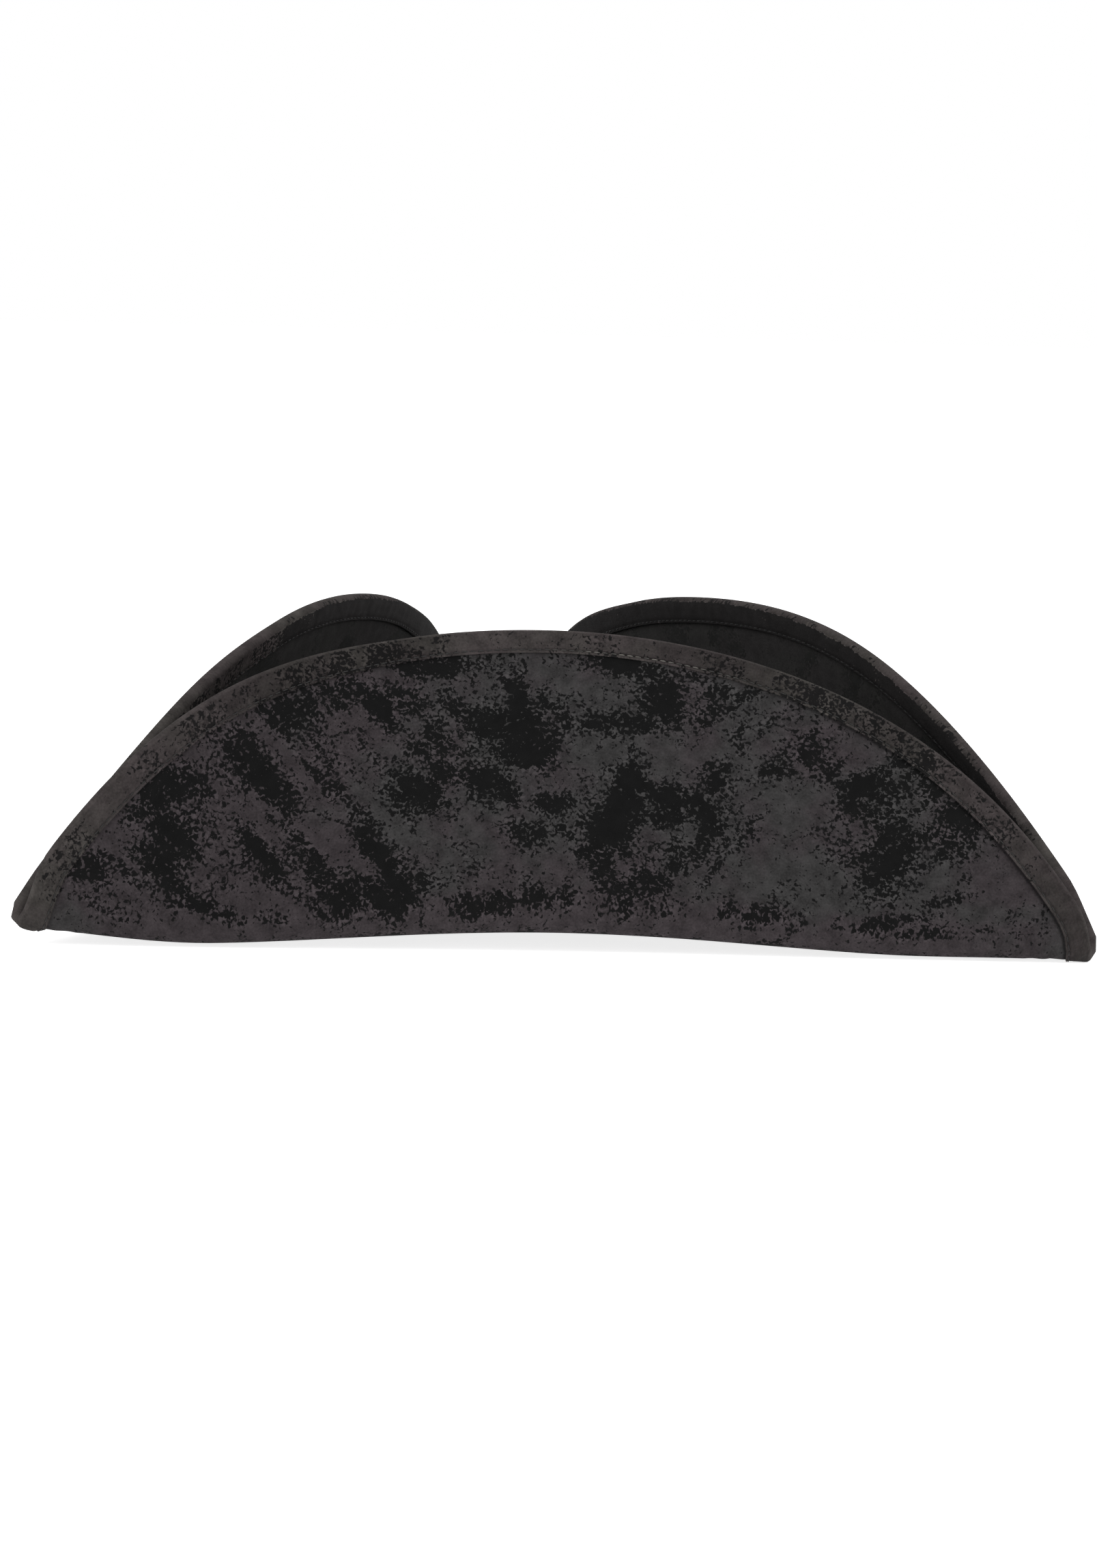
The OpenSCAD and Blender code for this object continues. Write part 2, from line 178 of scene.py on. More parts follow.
# ---------------------------------------------------------------------------------------------
# Mesh helpers
# ---------------------------------------------------------------------------------------------
def new_piece(name, points_mm, faces, replaces=(), slot=None, uv=None, attributes=None, sharp=35):
    """A mesh object from points in mm and faces, riding on the hat."""
    mesh = bpy.data.meshes.new(name)
    mesh.from_pydata((np.asarray(points_mm) * MM).tolist(), [], [tuple(f) for f in faces])
    mesh.shade_smooth()
    if sharp:
        mesh.set_sharp_from_angle(angle=sharp * DEG)
    if uv is not None:
        layer = mesh.uv_layers.new(name="flat")
        index = np.zeros(len(mesh.loops), np.int32)
        mesh.loops.foreach_get("vertex_index", index)
        layer.data.foreach_set("uv", np.asarray(uv, np.float32)[index].ravel())
    for key, values in (attributes or {}).items():
        values = np.asarray(values, np.float32)
        kind = "FLOAT" if values.ndim == 1 else "FLOAT_VECTOR"
        attribute = mesh.attributes.new(key, kind, "POINT")
        attribute.data.foreach_set("value" if values.ndim == 1 else "vector", values.ravel())
    mesh.validate()
    mesh.update()
    piece = bpy.data.objects.new(name, mesh)
    bpy.context.scene.collection.objects.link(piece)
    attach(piece, "root")
    if replaces:
        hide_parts(*([replaces] if isinstance(replaces, str) else replaces))
    return piece


def loop_faces(n, m, close_m=True):
    """Quads between n closed loops of m points, the loops themselves in a ring."""
    i = np.arange(n)[:, None]
    j = np.arange(m if close_m else m - 1)[None]
    a = i * m + j
    b = i * m + (j + 1) % m
    c = ((i + 1) % n) * m + (j + 1) % m
    d = ((i + 1) % n) * m + j
    return np.stack([a, d, c, b], -1).reshape(-1, 4)


def rays(per_third, crowding=0.12):
    """Directions round the disc, closer together at the corners."""
    t = np.arange(3 * per_third) / per_third
    third = np.floor(t)
    return 30 + 120 * (t - crowding * np.sin(2 * math.pi * (t - third)))


def spread(knots, counts):
    """Runs of evenly spaced values between each ray's knots; knots is (rays, k)."""
    parts = []
    for j, count in enumerate(counts):
        gap = knots[:, j + 1:j + 2] - knots[:, j:j + 1]
        parts.append(knots[:, j:j + 1] + gap * np.linspace(0, 1, count, endpoint=False))
    return np.concatenate(parts + [knots[:, -1:]], 1)


# Least room in mm from the start and from the end of a bend to the binding
START_ROOM, END_ROOM = 17, 6
# Two close rings of points this far inside the binding, in mm, where the painted shadow line beside it lies
GROOVE_RINGS = (1.6, 0.7)


def stations(th, counts, last):
    """Radii along each ray: opening, start and end of the bend, binding, and last in from the edge.
    counts gives the steps up to each of these; the two groove rings come on top."""
    edge = edge_rho(th)
    start, end = np.zeros_like(th), np.zeros_like(th)
    for k in range(3):
        near = np.abs(turn(th, FLAP_MID[k])) <= 60.001
        u = fold_u(k, 0.8 * BRIM_R * np.cos(th * DEG), 0.8 * BRIM_R * np.sin(th * DEG))
        r, phi, s = fold_shape(k, u)
        tilt = np.cos(turn(th, FLAP_DIR[k]) * DEG)
        start = np.where(near, s / tilt, start)
        end = np.where(near, (s + r * phi) / tilt, end)
    bind = edge - BINDING_W
    start, end = np.minimum(start, bind - START_ROOM), np.minimum(end, bind - END_ROOM)
    knots = [open_rho(th), start, end, *(bind - ring for ring in GROOVE_RINGS), bind, edge - last]
    return spread(np.stack(knots, 1), (*counts[:3], 1, 1, counts[3]))


def value_noise(p, seed):
    """Smooth noise from 0 to 1 at points p, which are in units of its cell."""
    moved = p + np.array([seed, -seed, 2.3 * seed])
    return np.array([noise.noise(Vector(row)) for row in moved.tolist()]) * 0.5 + 0.5


def flat_xy(rho, th):
    """Position on the flat disc."""
    return np.stack([rho * np.cos(th * DEG), rho * np.sin(th * DEG)], -1)


def grain_coords(rho, th):
    """Pattern coordinates in metres in which the cloth's streaks are round: they run towards the
    middle of the hat near its corners, and are nearly round in the middle of each flap."""
    corner = np.min([np.abs(turn(th, c)) for c in CORNER_DIR], axis=0)
    squeeze = 0.30 + 0.42 * ease((corner - 15) / 38)
    return np.stack([150 * np.cos(th * DEG), 150 * np.sin(th * DEG), rho * squeeze], -1) * MM


# Dark worn patches on the back flap: along the fold, distance from the disc's centre,
# half length, half width (all mm), turn of the long side from the fold (degrees), strength
PATCHES = (
    (-15, 213, 4, 8, 0, 1.0), (-11, 196, 14, 12, 0, 1.15), (-30, 202, 14, 8, -15, 0.95),
    (-46, 194, 9, 8, 0, 0.7), (-29, 186, 9, 5, 0, 0.55), (-43, 182, 6, 5, 0, 0.8),
    (-53, 174, 9, 10, 0, 0.9), (-26, 178, 16, 6, -25, 0.95), (-4, 169, 9, 5, 0, 1.0),
    (-9, 157, 11, 8, 0, 0.6), (-48, 226, 15, 4, 5, 0.95), (-85, 213, 11, 7, 0, 0.75),
    (-65, 210, 10, 9, 0, 0.8), (-103, 206, 12, 7, 10, 0.8), (-119, 193, 7, 7, 0, 0.75),
    (-112, 182, 17, 5, -50, 1.0), (-102, 167, 5, 5, 0, 0.7), (-149, 175, 9, 11, 0, 1.0),
    (-138, 178, 12, 6, -20, 0.8), (-144, 160, 11, 9, 0, 1.05), (-150, 150, 12, 7, 0, 1.0),
    (-125, 178, 13, 11, 0, 0.5), (-111, 152, 16, 4, -50, 0.8), (-95, 151, 21, 4, -50, 1.0),
    (-80, 134, 8, 7, 0, 1.05), (-69, 153, 17, 5, -50, 1.05), (-61, 136, 11, 9, 0, 1.05),
    (-150, 143, 12, 5, -25, 0.7), (-133, 134, 20, 4, -20, 0.75), (-175, 145, 7, 6, 0, 0.7),
    (-172, 131, 12, 3, -25, 0.65), (-26, 129, 12, 4, 8, 0.95), (-5, 132, 8, 4, 0, 0.9),
    (-125, 142, 12, 8, 0, 0.5), (-105, 128, 12, 3, -15, 0.65), (-88, 175, 7, 12, 25, 0.45),
    (-160, 165, 6, 4, -30, 0.8), (-30, 142, 5, 3, 0, 0.5), (30, 227, 18, 4, -4, 0.95),
    (42, 216, 9, 10, 0, 0.9), (18, 203, 7, 4, 0, 0.75), (33, 203, 6, 4, 0, 0.75),
    (65, 207, 13, 7, 0, 0.5), (68, 200, 5, 4, 0, 0.8), (62, 219, 12, 3, -5, 0.6),
    (28, 181, 6, 9, -25, 1.0), (41, 175, 8, 5, 0, 1.1), (61, 183, 5, 7, 0, 1.05), (56, 169, 7, 9, 0, 1.1),
    (42, 165, 13, 4, 0, 0.95), (20, 158, 9, 12, 0, 1.2), (18, 144, 5, 9, 0, 1.05),
    (25, 170, 8, 5, 0, 1.0), (30, 136, 15, 10, 0, 0.6), (50, 152, 13, 9, 0, 0.6),
    (65, 131, 4, 6, 0, 0.75), (76, 130, 10, 3, 8, 0.75), (98, 195, 4, 6, 0, 0.95),
    (106, 188, 5, 6, 0, 0.95), (118, 184, 13, 6, 0, 1.05), (114, 177, 8, 5, 0, 0.85),
    (129, 165, 8, 11, 0, 0.95), (127, 154, 12, 7, 20, 1.1), (119, 147, 7, 4, 15, 0.9),
    (109, 158, 8, 6, 0, 0.55), (147, 178, 9, 8, 0, 0.65), (155, 172, 6, 6, 0, 0.9),
    (145, 185, 6, 4, 0, 0.75), (148, 162, 13, 6, 0, 0.65), (128, 132, 14, 2, 12, 0.85),
    (147, 141, 14, 2, 15, 0.7), (140, 128, 15, 2, 5, 0.6), (90, 188, 7, 4, 0, 0.5),
    (74, 164, 6, 5, 0, 0.5), (135, 195, 7, 4, -25, 0.6), (168, 160, 7, 5, -40, 0.45),
)


def worn_field(rho, th):
    """How worn the cloth is at a point of the flat disc: above 0 it is mostly dark, below mostly light."""
    a, b = back_axes(rho, th)
    placed = np.zeros_like(a)
    for pa, pb, half, width, angle, strength in PATCHES:
        c, s = math.cos(angle * DEG), math.sin(angle * DEG)
        u, v = (a - pa) * c + (b - pb) * s, -(a - pa) * s + (b - pb) * c
        placed = np.maximum(placed, strength * np.exp(-((u / half) ** 2 + (v / width) ** 2) * 0.7))
    placed -= 0.30 * ease((130 - b) / 8) + 0.15 * ease((a - 158) / 15) + 0.08 * ease((-60 - a) / 60)
    cells = grain_coords(rho, th).reshape(-1, 3) / PATCH_CELL
    scattered = scatter_of(cells, 3.7).reshape(rho.shape)
    back = ease((60 - np.abs(turn(th, FLAP_MID[0]))) / 10) * ease((b - 116) / 8)
    return placed * back + scattered * (1 - back) - 0.5


def painted_brim_shading(rho, th):
    """Painted shading of the cloth, above 0 darker: a painted shadow line beside the binding, strong on the
    back flap's right, faint elsewhere, and a little darker on its left; below 0, and so lighter, along its
    fold: painted light from below."""
    depth = 0.25 + 0.75 * ease((th_from_back(th) - 14) / 16)
    line = depth * np.exp(-(((edge_rho(th) - rho - BINDING_W - 0.6) / 0.75) ** 2))
    a, b = back_axes(rho, th)
    on_back = ease((60 - np.abs(th_from_back(th))) / 10) * ease((b - 110) / 8)
    return line + on_back * (0.07 * ease((-60 - a) / 60) - 0.07 * ease((136 - b) / 12))


def back_axes(rho, th):
    """Distances along the back flap's fold, positive to the right, and across it from the centre."""
    d = FLAP_DIR[0] * DEG
    x, y = rho * np.cos(th * DEG), rho * np.sin(th * DEG)
    return y * math.cos(d) - x * math.sin(d), x * math.cos(d) + y * math.sin(d)


def tint_of(rho, th):
    """Where the back flap's nap leans to mauve, 1, or to neutral grey, -1: mauve at its left and along
    its fold."""
    a, b = back_axes(rho, th)
    lean = 0.8 * ease((-20 - a) / 70) + 0.4 * ease((a - 120) / 40) - 0.2 + 1.2 * ease((138 - b) / 12)
    return np.clip(lean, -1, 1) * ease((60 - np.abs(th_from_back(th))) / 10)


def th_from_back(th):
    """Angle from the middle of the back flap, positive towards its right end."""
    return turn(th, FLAP_MID[0])


# Size in metres of the cells that the loose patches come from
PATCH_CELL = 0.018


def scatter_of(cells, seed):
    """Loose patches for the parts the photograph doesn't show."""
    broad, small = value_noise(cells, seed) - 0.5, value_noise(cells * 2.3, seed + 5.4) - 0.5
    return np.clip(broad * 2.1 + small * 1.6 + 0.28, 0, 1.0)


def inner_painted_shading(rho, th):
    """The inner cloth's painted shading: painted shade in a strip below the binding, painted light down by
    the fold.
    """
    down = edge_rho(th) - rho
    return 0.2 * painted_brim_shading(rho, th) + 0.35 * ease((50 - down) / 32) - 0.45 * ease((down - 35) / 45)


def both_faces(values):
    """Values on a layer's upper face, then the same ones back again on its lower face."""
    return np.concatenate([values, values[:, ::-1]], 1).reshape(-1, *values.shape[2:])


def ring_layer(name, low, high, per_third, counts, last, darkness=painted_brim_shading, **kw):
    """A closed layer of the brim between two offsets from its middle surface."""
    th = rays(per_third)
    rho = stations(th, counts, last)
    th2 = np.repeat(th[:, None], rho.shape[1], 1)
    point, n = brim_frame(rho, th2)
    loops = np.concatenate([point + n * high, (point + n * low)[:, ::-1]], 1)
    # seam carries painted shading, not a seam: above 0 painted shade, below 0 painted light
    fields = {"worn": worn_field, "grain": grain_coords, "seam": darkness, "tint": tint_of}
    attributes = {key: both_faces(field(rho, th2)) for key, field in fields.items()}
    return new_piece(name, loops.reshape(-1, 3), loop_faces(len(th), loops.shape[1]),
                     uv=both_faces(flat_xy(rho, th2)) * MM, attributes=attributes, **kw)


# ---------------------------------------------------------------------------------------------
# Materials
# ---------------------------------------------------------------------------------------------
class Nodes:
    """Short ways to make and join shader nodes."""

    def __init__(self, name):
        self.material = bpy.data.materials.new(name)
        self.material.use_nodes = True
        self.tree = self.material.node_tree
        self.shader = self.tree.nodes["Principled BSDF"]

    def add(self, kind, inputs=None, **settings):
        node = self.tree.nodes.new(kind)
        for key, value in settings.items():
            setattr(node, key, value)
        for key, value in (inputs or {}).items():
            self.put(value, node.inputs[key])
        return node

    def put(self, value, socket):
        if isinstance(value, bpy.types.NodeSocket):
            self.tree.links.new(value, socket)
        else:
            socket.default_value = value

    def attribute(self, name):
        return self.add("ShaderNodeAttribute", attribute_name=name)

    def uv(self):
        return self.add("ShaderNodeUVMap", uv_map="flat").outputs[0]

    def noise(self, vector, scale, detail=2.0, rough=0.5, distortion=0.0, offset=None):
        if offset:
            vector = self.add("ShaderNodeVectorMath", {0: vector, 1: offset}, operation="ADD").outputs[0]
        inputs = {"Vector": vector, "Scale": scale, "Detail": detail, "Roughness": rough,
                  "Distortion": distortion}
        return self.add("ShaderNodeTexNoise", inputs).outputs[0]

    def math(self, operation, a, b=None, clamp=False):
        inputs = {0: a} if b is None else {0: a, 1: b}
        return self.add("ShaderNodeMath", inputs, operation=operation, use_clamp=clamp).outputs[0]

    def ramp(self, value, low, high, out_low=0.0, out_high=1.0):
        inputs = {"Value": value, "From Min": low, "From Max": high, "To Min": out_low, "To Max": out_high}
        return self.add("ShaderNodeMapRange", inputs, interpolation_type="SMOOTHSTEP").outputs[0]

    def mix(self, factor, a, b):
        node = self.add("ShaderNodeMix", {0: factor}, data_type="RGBA")
        for value, socket in ((a, node.inputs[6]), (b, node.inputs[7])):
            self.put((*value, 1) if isinstance(value, tuple) else value, socket)
        return node.outputs[2]

    def bump(self, height, strength, distance, normal=None):
        inputs = {"Strength": strength, "Distance": distance, "Height": height}
        if normal is not None:
            inputs["Normal"] = normal
        return self.add("ShaderNodeBump", inputs).outputs[0]

    def finish(self, colour, rough, normal=None, specular=0.2, sheen=0.0):
        self.put((*colour, 1) if isinstance(colour, tuple) else colour, self.shader.inputs["Base Color"])
        self.put(rough, self.shader.inputs["Roughness"])
        self.shader.inputs["Specular IOR Level"].default_value = specular
        self.shader.inputs["Sheen Weight"].default_value = sheen
        self.shader.inputs["Sheen Roughness"].default_value = 0.6
        self.shader.inputs["Sheen Tint"].default_value = (1, 1, 1, 1)
        if normal is not None:
            self.put(normal, self.shader.inputs["Normal"])
        return self.material


LIGHT_GAIN = 1.50  # how much brighter than its own colour a face looks in this studio


def linear(r, g, b):
    """The colour that looks like these 0 to 255 screen values in this studio's light."""
    return tuple(((v / 255 + 0.055) / 1.055) ** 2.4 / LIGHT_GAIN for v in (r, g, b))


def suede(name, light, warm, dark, shift=0.0, grit=1.0, rub=0.3, contrast=1.0):
    """Distressed faux suede: a dusty grey nap, rubbed to near black in gritty patches."""
    m = Nodes(name)
    grain = m.attribute("grain").outputs["Vector"]
    worn = m.attribute("worn").outputs["Fac"]
    flat = m.uv()
    # the edges of the patches: broad wisps, then flakes, then single tufts about a millimetre wide
    wisps = m.math("SUBTRACT", m.noise(grain, 92, 4, 0.62, 0.4), 0.5)
    flakes = m.math("SUBTRACT", m.noise(flat, 250, 3, 0.62, 0.4), 0.5)
    tufts = m.math("SUBTRACT", m.noise(flat, 720, 1.5, 0.55, 0.6, (3.1, 1.7, 0)), 0.5)
    broad = m.math("ADD", m.math("ADD", worn, shift), m.math("MULTIPLY", wisps, 2.3))
    field = m.math("ADD", broad, m.math("MULTIPLY", flakes, 1.7 * grit))
    field = m.math("ADD", field, m.math("MULTIPLY", tufts, 2.7 * grit))
    mask = m.ramp(field, -0.10, 0.08)
    # dusty nap: soft clouds of mauve and neutral grey, lightest on single tufts beside the dark
    clouds = m.noise(flat, 26, 3, 0.6, offset=(7.0, 2.0, 0))
    dust = m.noise(flat, 150, 4, 0.65, offset=(1.3, 8.2, 0))
    nap = m.noise(flat, 1100, 2, 0.6)
    mauve = m.math("ADD", clouds, m.math("MULTIPLY", m.attribute("tint").outputs["Fac"], 0.2))
    base = m.mix(m.ramp(mauve, 0.38, 0.62), light, warm)
    near = m.ramp(m.math("ABSOLUTE", broad), 0.42, 0.10)
    lift = m.math("MULTIPLY", m.math("MULTIPLY", near, m.ramp(tufts, -0.05, -0.17)), rub)
    soft = m.ramp(dust, 0.25, 0.75, 0.97 - 0.31 * contrast, 0.97 + 0.31 * contrast)
    shade = m.math("ADD", soft, m.ramp(nap, 0.3, 0.7, -0.15 * contrast, 0.15 * contrast))
    # seam: painted shade above 0 and painted light below 0, on the nap and the dark alike
    seam = m.math("SUBTRACT", 1.0, m.math("MULTIPLY", m.attribute("seam").outputs["Fac"], 0.7))
    shade = m.math("MULTIPLY", m.math("ADD", shade, lift), seam)
    tinted = m.add("ShaderNodeVectorMath", {0: base, "Scale": shade}, operation="SCALE").outputs[0]
    depth = m.math("MULTIPLY", m.ramp(dust, 0.2, 0.8, 1.25, 0.8), seam)
    deep = m.add("ShaderNodeVectorMath", {0: dark, "Scale": depth}, operation="SCALE").outputs[0]
    colour = m.mix(mask, tinted, deep)
    height = m.math("ADD", m.math("MULTIPLY", nap, 0.5), m.math("MULTIPLY", dust, 0.9))
    height = m.math("SUBTRACT", height, m.math("MULTIPLY", mask, 0.3))
    return m.finish(colour, m.ramp(mask, 0, 1, 0.95, 0.82), m.bump(height, 0.5, 0.0005), specular=0.06)


GREY_LIGHT, GREY_MAUVE, GREY_DARK = linear(57, 56, 56), linear(59, 54, 56), linear(18, 18, 18)
SUEDE = suede("distressed_suede", GREY_LIGHT, GREY_MAUVE, GREY_DARK, shift=0.10, rub=0.5)
BINDING = suede("binding_suede", linear(61, 58, 56), linear(60, 55, 55), linear(25, 24, 24), rub=0.5)
# The inner cloth is this suede with far lighter colours than the outer's: painted light on its face, which
# lies in shade
INNER = suede("inner_suede", linear(74, 73, 72), linear(74, 72, 72), linear(60, 60, 59), grit=0.6, rub=0.1,
              contrast=0.5)


def plain_cloth(name, colour, shadow, scale, rough, specular, sheen, stretch=(1, 1, 1), strength=0.4,
                distance=0.0003):
    """Plain woven or pressed cloth with slight colour change and a fine surface."""
    m = Nodes(name)
    flat = m.uv()
    scaled = m.add("ShaderNodeVectorMath", {0: flat, 1: stretch}, operation="MULTIPLY").outputs[0]
    fine = m.noise(scaled, scale, 3, 0.6)
    broad = m.noise(flat, 22, 3, 0.6)
    tone = m.mix(m.ramp(broad, 0.3, 0.7), colour, shadow)
    tone = m.mix(m.ramp(fine, 0.3, 0.7, 0.0, 0.35), tone, shadow)
    return m.finish(tone, rough, m.bump(fine, strength, distance), specular, sheen)


def ribbed(name, colour, shadow, pitch_m, rough, specular):
    """Grosgrain ribbon: fine ribs across its length."""
    m = Nodes(name)
    flat = m.uv()
    x = m.add("ShaderNodeSeparateXYZ", {0: flat}).outputs[0]
    ribs = m.math("SINE", m.math("MULTIPLY", x, 2 * math.pi / pitch_m))
    fibre = m.noise(flat, 2600, 2, 0.6)
    height = m.math("ADD", m.math("MULTIPLY", ribs, 0.5), m.math("MULTIPLY", fibre, 0.3))
    # Painted shade: the shadow colour in the ribs' low troughs
    tone = m.mix(m.ramp(ribs, -1, 1), shadow, colour)
    tone = m.mix(m.ramp(m.noise(flat, 30, 3), 0.3, 0.7, 0.0, 0.3), tone, shadow)
    return m.finish(tone, rough, m.bump(height, 0.5, 0.0003), specular, 0.05)


# Colour of the painted highlight on stitches
THREAD_HIGHLIGHT = linear(112, 108, 103)


def thread(name, colour, shadow):
    """Twisted sewing thread."""
    m = Nodes(name)
    flat = m.uv()
    wave = m.add("ShaderNodeTexWave", {"Vector": flat, "Scale": 3.0, "Distortion": 0.4}, wave_type="BANDS",
                 bands_direction="DIAGONAL").outputs[1]
    # Painted shade: the shadow colour in the twist's low bands
    tone = m.mix(wave, shadow, colour)
    # Painted highlight: where the light attribute is 1 the thread takes the highlight colour
    tone = m.mix(m.attribute("light").outputs["Fac"], tone, THREAD_HIGHLIGHT)
    return m.finish(tone, 0.6, m.bump(wave, 0.4, 0.0002), 0.25, 0.05)


LINING = plain_cloth("lining_cloth", linear(27, 27, 30), linear(17, 17, 19), 1500, 0.45, 0.35, 0.05,
                     stretch=(1, 0.25, 1), strength=0.25, distance=0.0002)
FELT = plain_cloth("felt_interlining", linear(70, 70, 72), linear(48, 48, 50), 900, 0.95, 0.1, 0.05)
BUCKRAM = plain_cloth("buckram", linear(200, 192, 176), linear(160, 150, 132), 1100, 0.9, 0.2, 0.0)
RIBBON = ribbed("grosgrain_ribbon", linear(36, 36, 38), linear(17, 17, 18), 0.0011, 0.6, 0.3)
THREAD_GREY = thread("grey_thread", linear(46, 44, 43), linear(26, 25, 25))
THREAD_DARK = thread("dark_thread", linear(34, 34, 34), linear(14, 14, 14))

steel = Nodes("steel_wire")
steel_noise = steel.noise(steel.add("ShaderNodeTexCoord").outputs["Object"], 400, 2)
steel.shader.inputs["Metallic"].default_value = 1.0
STEEL = steel.finish(steel.mix(steel_noise, (0.36, 0.36, 0.37), (0.5, 0.5, 0.5)),
                     steel.ramp(steel_noise, 0, 1, 0.3, 0.5), steel.bump(steel_noise, 0.2, 0.0002), 0.5)


def dress(piece, material):
    """Gives a piece its material."""
    piece.data.materials.clear()
    piece.data.materials.append(material)
    return piece


# ---------------------------------------------------------------------------------------------
# Brim
# ---------------------------------------------------------------------------------------------
# Rays in a third of the brim and steps along each ray: fine for the cloths, coarse for the interlining
PER_THIRD = 200
FINE = ((8, 16, 46, 6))
COARSE_THIRD, COARSE = 60, (6, 8, 12, 2)
# How far in from the cut edge the cloths and the interlining end, in mm
CLOTH_IN, FELT_IN = 0.8, 4.4

outer = ring_layer("brim_outer_cloth", -SKIN, -CORE, PER_THIRD, FINE, CLOTH_IN,
                   replaces="brim_outer_fabric", slot="suede")
dress(outer, SUEDE)
inner = ring_layer("brim_inner_cloth", CORE, SKIN, PER_THIRD, FINE, CLOTH_IN, darkness=inner_painted_shading,
                   replaces="brim_inner_fabric", slot="suede_inner")
dress(inner, INNER)
felt = ring_layer("brim_interlining", -CORE, CORE, COARSE_THIRD, COARSE, FELT_IN,
                  replaces="brim_stiffener", slot="stiffener")
dress(felt, FELT)

# Binding: a folded strip over the edge, turned under along both sides and puffed beside its stitches
STITCH_IN = BINDING_W - 1.0
half_profile = [
    (BINDING_W - 0.5, SKIN), (BINDING_W + 0.05, SKIN + 0.12), (BINDING_W + 0.2, SKIN + 0.5),
    (BINDING_W - 0.05, BOUND + 0.02), (BINDING_W - 0.5, BOUND + 0.1), (STITCH_IN + 0.15, BOUND - 0.12),
    (STITCH_IN - 0.25, BOUND - 0.16), (STITCH_IN - 0.9, BOUND + 0.06), (STITCH_IN - 2.0, BOUND + 0.18),
    (6.0, BOUND + 0.12), (4.4, BOUND + 0.08), (2.6, BOUND + 0.05), (1.4, BOUND - 0.1), (0.6, BOUND - 0.5),
    (0.1, BOUND - 1.2), (-0.15, BOUND - 2.0),
]
profile = (half_profile + [(-0.2, 0.0)] + [(d, -o) for d, o in half_profile[::-1]]
           + [(8.0, -SKIN), (4.4, -SKIN), (CLOTH_IN, -SKIN), (CLOTH_IN, SKIN), (4.4, SKIN), (8.0, SKIN)])
bind_th = rays(PER_THIRD)
bind_edge = edge_rho(bind_th)


def on_edge(th, edge, inward, offset):
    """Points at a distance in from the edge and an offset from the middle surface."""
    point, n = brim_frame(np.maximum(edge - inward, edge - BINDING_W - 1), th)
    return point + n * offset, n


pucker = 0.10 * np.sin(bind_th * DEG * 240) + 0.08 * np.sin(bind_th * DEG * 97 + 1)
bind_loops = []
for d, o in profile:
    puff = pucker * (1 if abs(o) > SKIN + 0.3 and 2 < d < 9 else 0)
    bind_loops.append(on_edge(bind_th, bind_edge, d, o + np.sign(o) * puff[:, None])[0])
bind_loops = np.stack(bind_loops, 1)
across = np.array([(BINDING_W - d) if o > 0 else (BINDING_W + d + 2) for d, o in profile])
rim_line = bind_loops[:, len(profile) // 2]
along = np.cumsum(np.r_[0, np.linalg.norm(np.diff(rim_line, axis=0), axis=1)])


def per_ray(values):
    """One value for each direction round the brim, given to every point of the profile there."""
    return np.repeat(values[:, None], len(profile), 1)


def per_point(values):
    """One value for each point of the profile, given to every direction round the brim."""
    return np.repeat(np.array(values)[None], len(bind_th), 0)


bind_uv = np.stack([per_ray(along), per_point(across)], -1).reshape(-1, 2) * MM
bind_rho = per_ray(bind_edge - 4) + per_point(across) * 0.6
bind_grain = grain_coords(bind_rho, per_ray(bind_th)).reshape(-1, 3)
bind_d = per_ray(bind_th).ravel()

# Spots along the back flap's binding: direction round the brim and width, both in degrees, and strength.
# Below 0 a spot is less worn, or lighter
WEAR_SPOTS = (
    (-150, 6, -0.5), (-132, 12, 0.22), (-110, 6, 0.25), (-93, 10, -0.35), (-70, 9, 0.2), (-60, 5, 0.25),
    (-30, 6, -0.3),
)
SHADE_SPOTS = (
    (-117, 6, 0.5), (-106, 4, 0.45), (-99, 3, -0.35), (-95, 9, -0.12), (-75, 6, 0.36), (-60, 4, 0.35),
    (-36, 5, 0.3),
)


def near_th(direction, width):
    """1 at a direction round the brim, fading to 0 over a width in degrees on each side."""
    return np.exp(-((turn(bind_d, direction) / width) ** 2))


def spots(table):
    """The sum of a table's spots at each point of the binding."""
    return sum(strength * near_th(direction, width) for direction, width, strength in table)


inner_side = per_point([o > 0 for d, o in profile]).ravel().astype(float)
outer_side = 1 - inner_side
inward = per_point([d for d, o in profile]).ravel()
offset = per_point([abs(o) for d, o in profile]).ravel()
# Parts of the strip: its rim, the lips turned under along its sides, and the dents that its stitches pull
on_rim = ((inward < 0.7) & (offset < BOUND)).astype(float)
lip = (inward > BINDING_W - 0.6).astype(float)
dent = (np.abs(inward - STITCH_IN + 0.05) < 0.3).astype(float)
# Stretches of it: inside the right flap, inside the left flap up to its dusty corner, the back flap's
# right end, and the middle of the back flap, where the stitches catch the light
far_right = inner_side * ease((70 - np.abs(turn(bind_d, 40))) / 15)
far_left = inner_side * ease((58 - np.abs(turn(bind_d, 138))) / 15) * (1 - 0.9 * near_th(175, 13))
right_end = outer_side * ease((th_from_back(bind_d) - 14) / 16) * ease((60 - th_from_back(bind_d)) / 3)
LIT_TH = -83
lit_middle = near_th(LIT_TH, 9)

# Wear of the binding; inside the flaps it takes the dark colour all along, and its rim is kept light, a
# painted highlight
bind_wear_and_highlight = value_noise(bind_grain / PATCH_CELL, 5.5) - 0.84 + spots(WEAR_SPOTS)
bind_wear_and_highlight += 1.2 * far_right + 1.5 * far_left - on_rim * (0.5 + 0.7 * inner_side)
